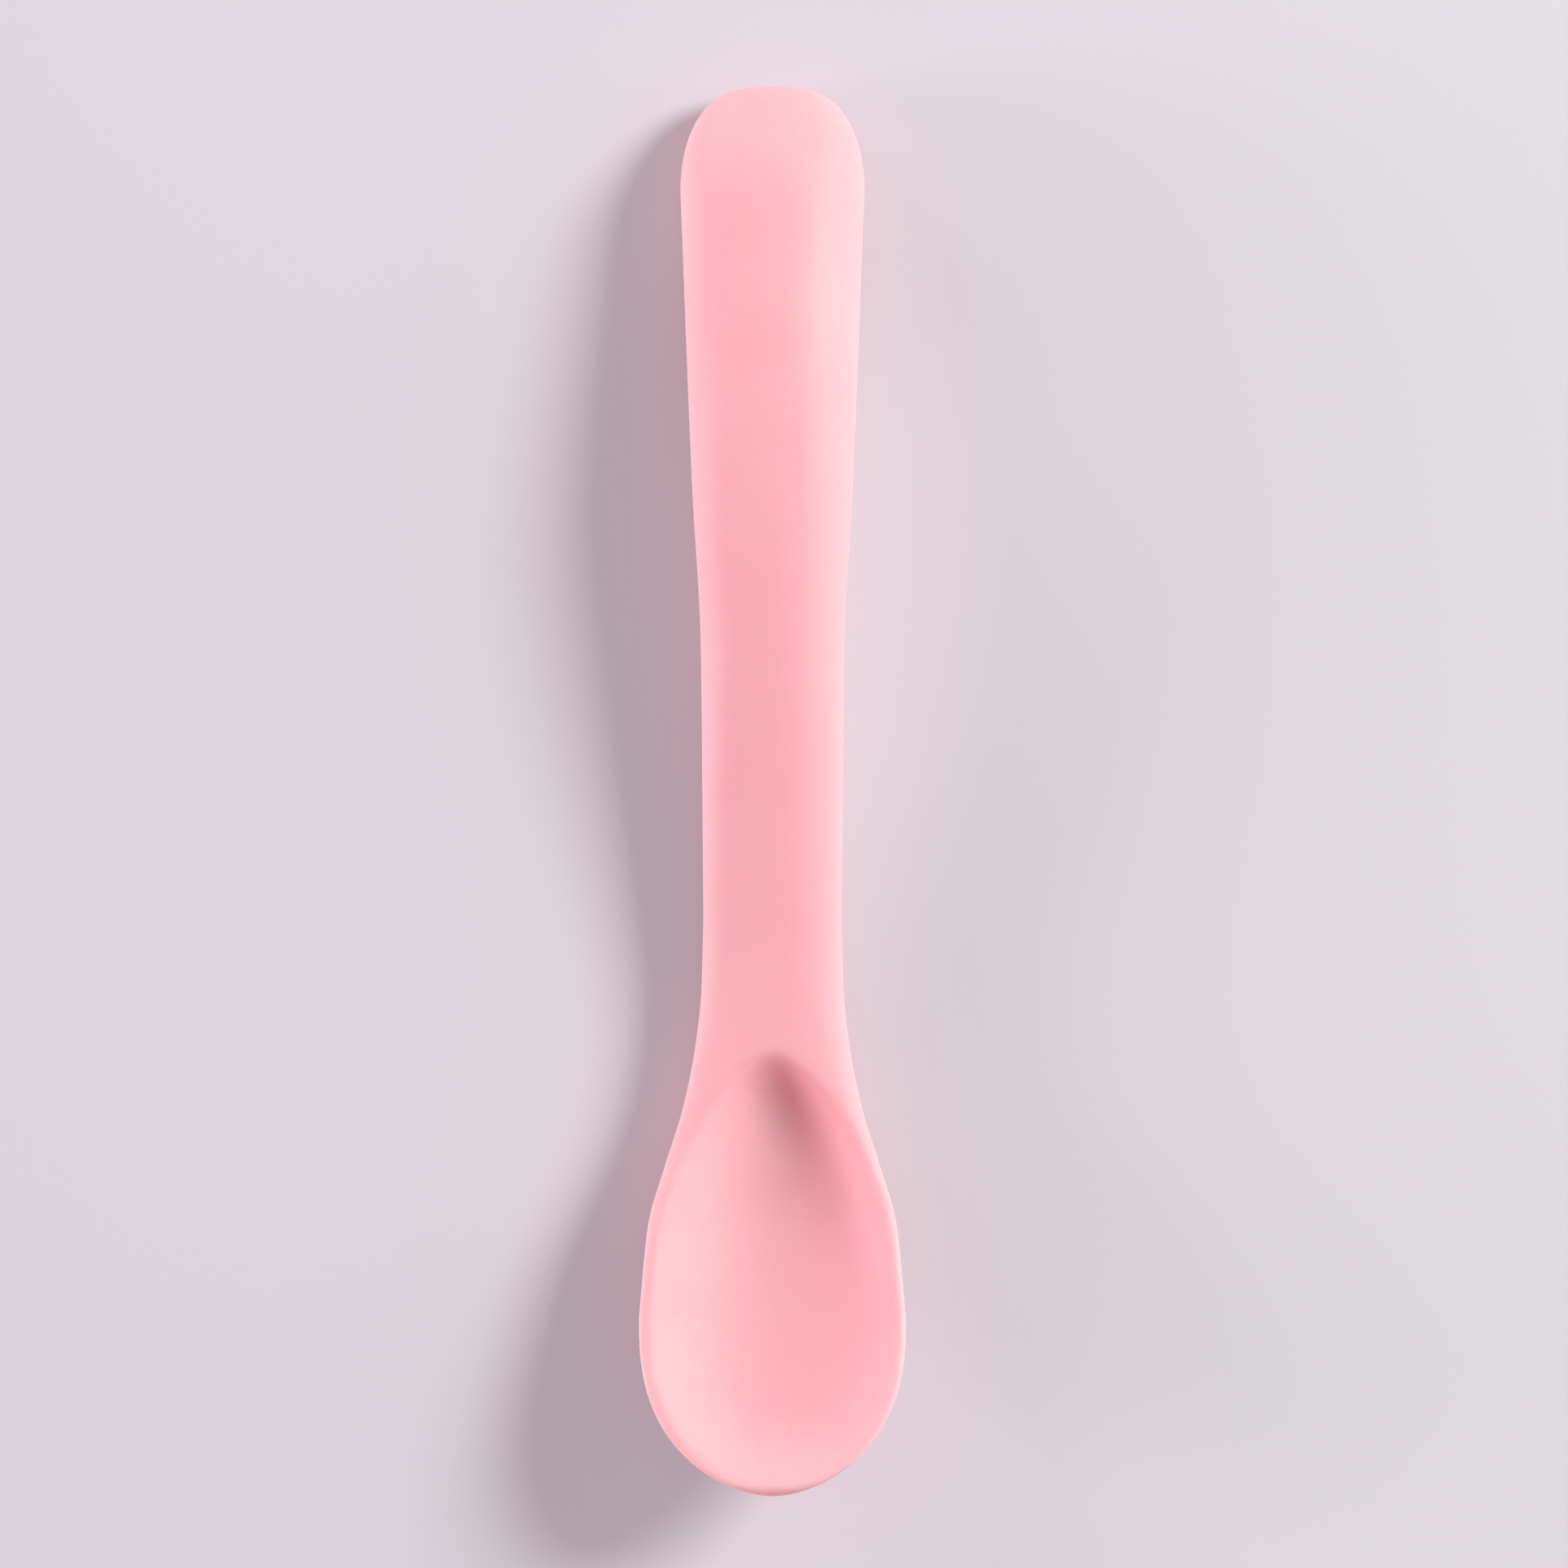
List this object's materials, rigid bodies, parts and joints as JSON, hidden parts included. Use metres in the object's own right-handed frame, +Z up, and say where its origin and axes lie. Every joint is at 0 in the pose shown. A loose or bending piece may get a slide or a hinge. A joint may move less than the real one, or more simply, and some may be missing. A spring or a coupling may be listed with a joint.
{
  "type": "baby spoon",
  "caption": "First-stage baby spoon in soft pink silicone: shallow oval bowl, narrow waist and a chunky arched handle moulded round a stiff nylon core.",
  "frame": {"origin": "centre of the bounding box on the table that the spoon lies on", "axes": "+X across the spoon, to the right when seen from above with the handle away from the viewer; +Y along it, from the bowl's tip to the handle's end; +Z up from the table"},
  "size_m": [0.0264, 0.14, 0.0149],
  "materials": {
    "pink_silicone": "soft matte",
    "natural_nylon": "matte"
  },
  "bodies": {
    "root": {"silicone_body": "pink_silicone", "stiffening_core": "natural_nylon"}
  },
  "joints": []
}
